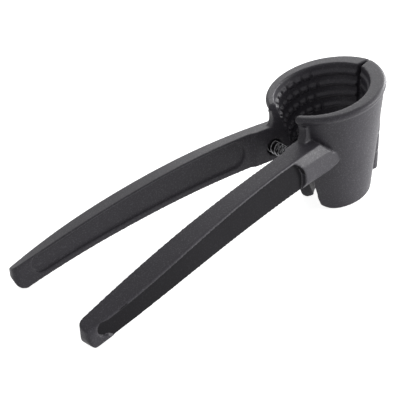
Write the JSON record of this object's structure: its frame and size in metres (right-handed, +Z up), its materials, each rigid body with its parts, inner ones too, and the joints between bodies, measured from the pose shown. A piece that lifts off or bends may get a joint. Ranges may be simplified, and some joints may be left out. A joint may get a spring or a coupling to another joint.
{
  "type": "lever nutcracker press",
  "caption": "Charcoal powder-coated lever nutcracker: two cast levers whose ribbed half cups close on a nut about an upright hinge pin, with a return spring between them.",
  "frame": {"origin": "middle of the part's footprint at rest, on the table that it lies on", "axes": "+X from the lever tips to the hinge, +Z up along the hinge pin, +Y from the front lever to the rear lever"},
  "size_m": [0.1892, 0.0658, 0.0637],
  "materials": {
    "coated_casting": "fine speckled charcoal powder coat",
    "pin_steel": "ground steel",
    "spring_steel": "bright drawn spring wire"
  },
  "bodies": {
    "rear": {"rear_lever": "coated_casting", "hinge_pin": "pin_steel", "return_spring": "spring_steel"},
    "front": {"front_lever": "coated_casting"}
  },
  "joints": [
    {"name": "lever_hinge", "type": "hinge", "parent": "rear", "child": "front", "pos_m": [0.08859, 0, 0], "axis": [0, 0, -1], "range_deg": [0, 16], "stiffness_Nm_per_rad": 2, "springref_deg": -5.73, "deforming": ["return_spring"]}
  ]
}
